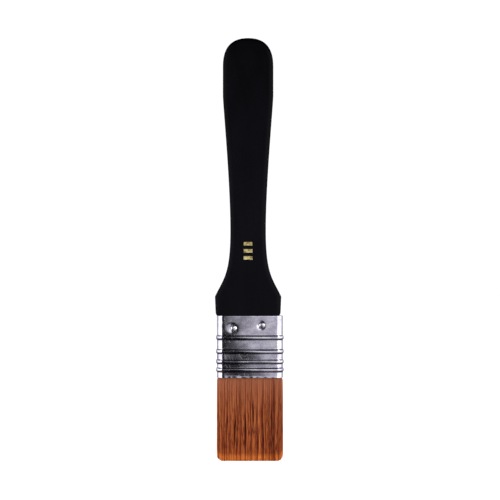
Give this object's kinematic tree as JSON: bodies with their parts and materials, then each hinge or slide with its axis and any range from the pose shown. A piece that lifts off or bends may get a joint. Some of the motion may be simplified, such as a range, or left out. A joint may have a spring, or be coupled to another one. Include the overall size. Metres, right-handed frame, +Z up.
{
  "type": "flat brush",
  "caption": "Flat wash brush with a black lacquered paddle handle, a beaded and nailed metal ferrule and a straight-cut tuft of red-brown filaments that flexes.",
  "frame": {"origin": "middle of the handle's waist, where the fingers hold it", "axes": "+Z up the handle away from the tips, +Y out of the back face, +X to the right as the front face is seen"},
  "size_m": [0.0312, 0.0086, 0.1919],
  "materials": {
    "lacquered_wood": "satin",
    "nickel_tinplate": "polished",
    "nail_steel": "polished",
    "setting_resin": "gloss",
    "bare_wood": "matte",
    "filament": "satin",
    "gold_foil": "gloss"
  },
  "bodies": {
    "root": {"handle": "lacquered_wood", "ferrule": "nickel_tinplate", "nail_front_left": "nail_steel", "nail_front_right": "nail_steel", "nail_rear_left": "nail_steel", "nail_rear_right": "nail_steel", "resin_setting": "setting_resin", "spacer_plug": "bare_wood", "filament_root_front": "filament", "filament_root_rear": "filament", "foil_mark": "gold_foil"},
    "tuft": {"filament_tuft_front": "filament", "filament_tuft_rear": "filament"}
  },
  "joints": [
    {"name": "tuft_flex", "type": "hinge", "parent": "root", "child": "tuft", "pos_m": [0.0008, 0, -0.06885], "axis": [1, 0, 0], "range_deg": [-35, 35], "stiffness_Nm_per_rad": 0.07}
  ]
}
